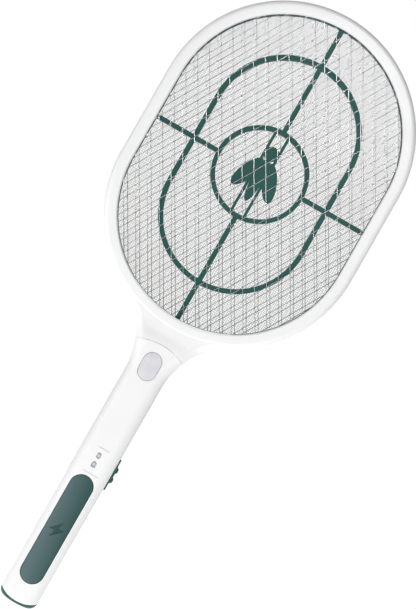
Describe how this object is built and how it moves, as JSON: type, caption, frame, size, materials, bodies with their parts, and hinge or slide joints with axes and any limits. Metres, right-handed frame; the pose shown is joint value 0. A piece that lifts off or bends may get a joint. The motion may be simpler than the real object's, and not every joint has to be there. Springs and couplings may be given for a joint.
{
  "type": "electric fly swatter",
  "caption": "Battery fly swatter with an oval three-layer grid head, green spacer frame, torch lens in the neck, grip pad and side slide switch.",
  "frame": {"origin": "middle of the grip, on the handle's centre line", "axes": "+Z along the handle towards the head, +X to the right seen from the front, front face towards -Y"},
  "size_m": [0.204, 0.0283, 0.52],
  "materials": {
    "white_shell": "satin moulded white",
    "green_plastic": "satin moulded dark green",
    "grip_green": "soft-touch dark green",
    "grid_wire": "bright drawn wire",
    "frosted_lens": "frosted with fine ribs",
    "reflector": "metallised",
    "led_resin": "clear resin",
    "board_green": "solder mask",
    "switch_metal": "pressed steel",
    "black_plastic": "moulded black",
    "ferrite": "sintered",
    "winding_tape": "taped winding",
    "capacitor_red": "dipped epoxy",
    "resistor_body": "lacquered",
    "cell_sleeve": "shrink sleeve",
    "contact_metal": "nickel plated",
    "screw_steel": "zinc plated",
    "red_insulation": "wire insulation",
    "black_insulation": "wire insulation"
  },
  "bodies": {
    "racket": {"head_frame_front": "white_shell", "head_frame_rear": "white_shell", "front_mesh": "grid_wire", "front_spacer": "green_plastic", "high_voltage_mesh": "grid_wire", "rear_spacer": "green_plastic", "rear_mesh": "grid_wire", "handle_front_shell": "white_shell", "handle_rear_shell": "white_shell", "grip_pad": "grip_green", "torch_lens": "frosted_lens", "torch_reflector": "reflector", "torch_leds": "led_resin", "torch_led_board": "board_green", "power_window": "frosted_lens", "charge_window": "frosted_lens", "indicator_leds": "led_resin", "switch_bezel": "green_plastic", "slide_switch_body": "switch_metal", "circuit_board": "board_green", "transformer_core": "ferrite", "transformer_winding": "winding_tape", "multiplier_capacitors": "capacitor_red", "rectifier_diodes": "black_plastic", "bleed_resistor": "resistor_body", "drive_transistor": "black_plastic", "battery_cell": "cell_sleeve", "battery_spring_contact": "contact_metal", "battery_plate_contact": "contact_metal", "end_cap": "green_plastic", "charging_socket": "contact_metal", "head_screws": "screw_steel", "neck_screws": "screw_steel", "handle_screws": "screw_steel", "high_voltage_lead": "red_insulation", "front_mesh_lead": "black_insulation", "rear_mesh_lead": "black_insulation", "battery_positive_lead": "red_insulation", "battery_negative_lead": "black_insulation", "charging_leads": "red_insulation"},
    "switch_slider": {"switch_knob": "green_plastic", "slide_switch_lever": "black_plastic"}
  },
  "joints": [
    {"name": "switch_slide", "type": "slide", "parent": "racket", "child": "switch_slider", "axis": [0, 0, 1], "range_m": [-0.003, 0.003]}
  ]
}
